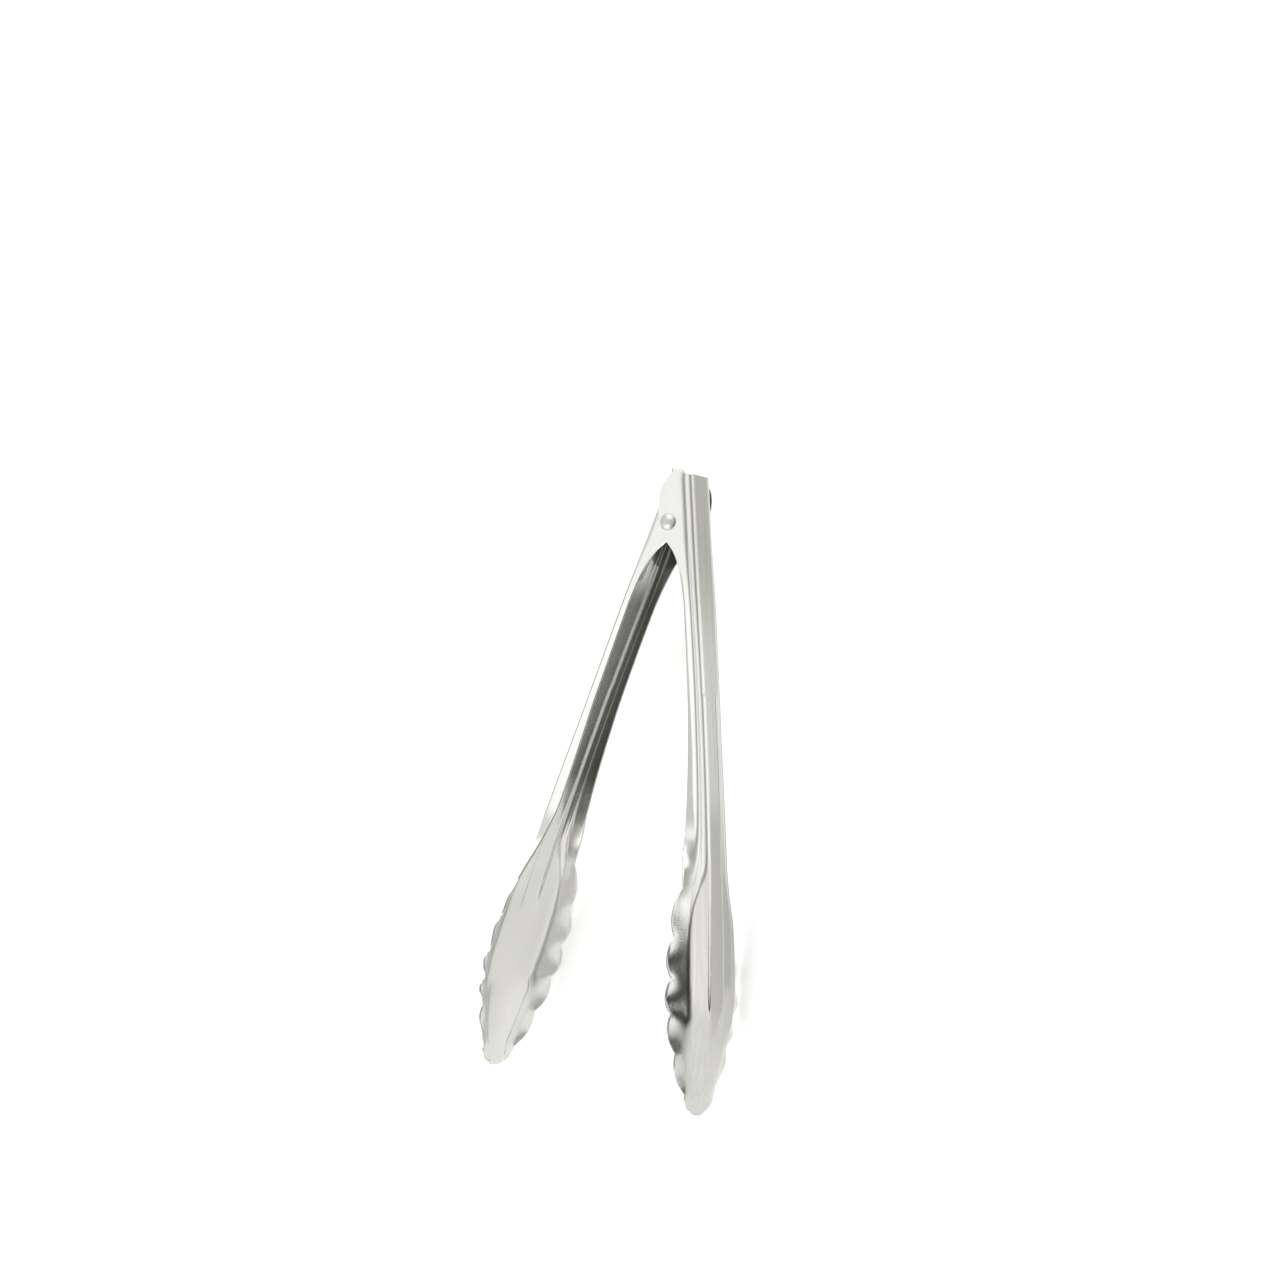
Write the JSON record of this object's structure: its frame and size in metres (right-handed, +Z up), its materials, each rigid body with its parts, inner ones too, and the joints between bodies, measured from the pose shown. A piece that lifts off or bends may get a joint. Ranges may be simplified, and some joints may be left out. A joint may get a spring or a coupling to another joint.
{
  "type": "kitchen tongs",
  "caption": "Spring loaded kitchen tongs: two stamped sheet steel arms with scalloped scoop ends, hinged on a rivet and held open by a torsion spring.",
  "frame": {"origin": "middle of the bounding box's bottom; the tongs lie flat with their arms sprung open", "axes": "+Z up along the rivet's axis, towards its domed head; +Y along the tongs, from the scoops to the hinge; +X towards the right arm, whose outer ear is the upper one"},
  "size_m": [0.0968, 0.2258, 0.0451],
  "materials": {
    "arm_right": "satin brushed along the web, bright polished on the flanges and scoop wings",
    "arm_left": "satin brushed along the web, bright polished on the flanges and scoop wings",
    "pivot_rivet": "bright, lightly worn",
    "torsion_spring": "drawn spring wire, dull"
  },
  "bodies": {
    "right_arm": {"arm_right": "arm_right", "pivot_rivet": "pivot_rivet", "torsion_spring": "torsion_spring"},
    "left_arm": {"arm_left": "arm_left"}
  },
  "joints": [
    {"name": "hinge", "type": "hinge", "parent": "right_arm", "child": "left_arm", "pos_m": [0, 0.09281, 0.02256], "axis": [0, 0, 1], "range_deg": [0, 25], "stiffness_Nm_per_rad": 0.7, "springref_deg": -17.19, "deforming": ["torsion_spring"]}
  ]
}
